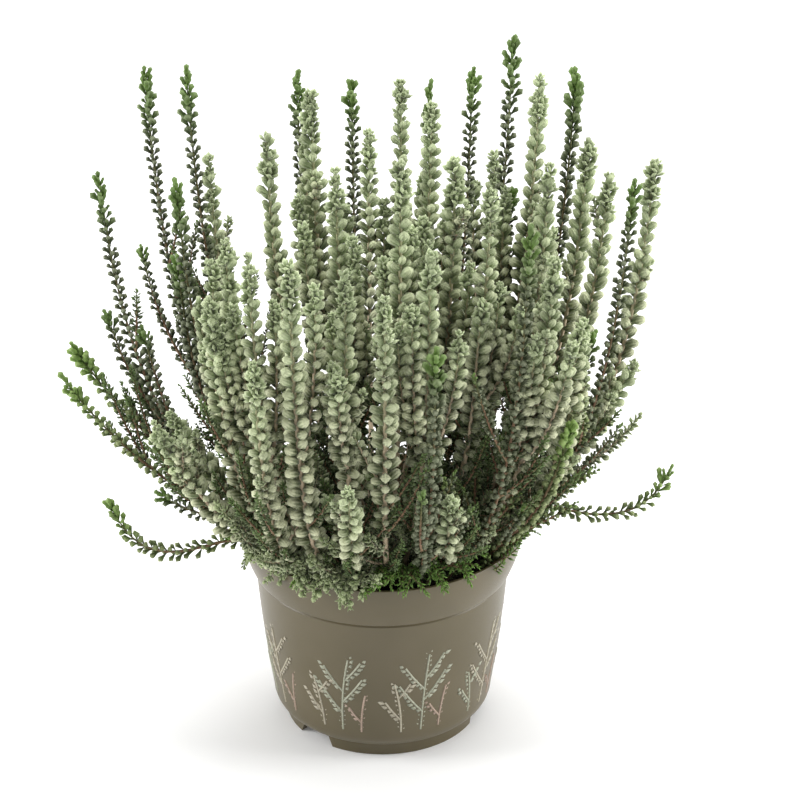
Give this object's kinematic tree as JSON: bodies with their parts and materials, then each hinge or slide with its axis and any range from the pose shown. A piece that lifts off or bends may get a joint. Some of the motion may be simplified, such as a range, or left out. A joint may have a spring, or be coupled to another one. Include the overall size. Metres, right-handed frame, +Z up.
{
  "type": "potted heather",
  "caption": "Bushy heather with upright, silvery bud-leaved stems and darker green ones, growing from soil in a tapered plastic pot with a flared rim band.",
  "frame": {"origin": "on the floor under the middle of the pot and of the whole plant", "axes": "+Z up along the pot's axis, -Y towards the viewer, +X to the viewer's right"},
  "size_m": [0.2468, 0.1887, 0.293],
  "materials": {
    "pot": "satin moulded plastic, taupe",
    "soil": "moist peat compost",
    "silver_leaves": "velvety silver-green leaves on pinkish-brown stems",
    "green_leaves": "dark green leaves on red-brown twigs",
    "needle_leaves": "fresh green needle leaves"
  },
  "bodies": {
    "root": {"pot": "pot", "soil": "soil", "spray_green_01": "green_leaves", "spray_green_02": "green_leaves", "spray_green_03": "green_leaves", "spray_green_04": "green_leaves", "spray_green_05": "green_leaves", "spray_green_06": "green_leaves", "spray_green_07": "green_leaves", "spray_green_08": "green_leaves", "spray_green_09": "green_leaves", "spray_green_10": "green_leaves", "spray_green_11": "green_leaves", "spray_green_12": "green_leaves", "spray_green_13": "green_leaves", "spray_green_14": "green_leaves", "spray_green_15": "green_leaves", "spray_green_16": "green_leaves", "spray_green_17": "green_leaves", "spray_green_18": "green_leaves", "spray_green_19": "green_leaves", "spray_green_20": "green_leaves", "spray_low_01": "needle_leaves", "spray_low_02": "needle_leaves", "spray_low_03": "needle_leaves", "spray_low_04": "needle_leaves", "spray_low_05": "needle_leaves", "spray_low_06": "needle_leaves", "spray_low_07": "needle_leaves", "spray_silver_01": "silver_leaves", "spray_silver_02": "silver_leaves", "spray_silver_03": "silver_leaves", "spray_silver_04": "silver_leaves", "spray_silver_05": "silver_leaves", "spray_silver_06": "silver_leaves", "spray_silver_07": "silver_leaves", "spray_silver_08": "silver_leaves", "spray_silver_09": "silver_leaves", "spray_silver_10": "silver_leaves", "spray_silver_11": "silver_leaves", "spray_silver_12": "silver_leaves", "spray_silver_13": "silver_leaves", "spray_silver_14": "silver_leaves", "spray_silver_15": "silver_leaves", "spray_silver_16": "silver_leaves", "spray_silver_17": "silver_leaves", "spray_silver_18": "silver_leaves", "spray_silver_19": "silver_leaves", "spray_silver_20": "silver_leaves", "spray_silver_21": "silver_leaves", "spray_silver_22": "silver_leaves", "spray_silver_23": "silver_leaves", "spray_silver_24": "silver_leaves", "spray_silver_25": "silver_leaves", "spray_silver_26": "silver_leaves", "spray_silver_27": "silver_leaves", "spray_silver_28": "silver_leaves", "spray_silver_29": "silver_leaves", "spray_silver_30": "silver_leaves", "spray_silver_31": "silver_leaves"}
  },
  "joints": []
}
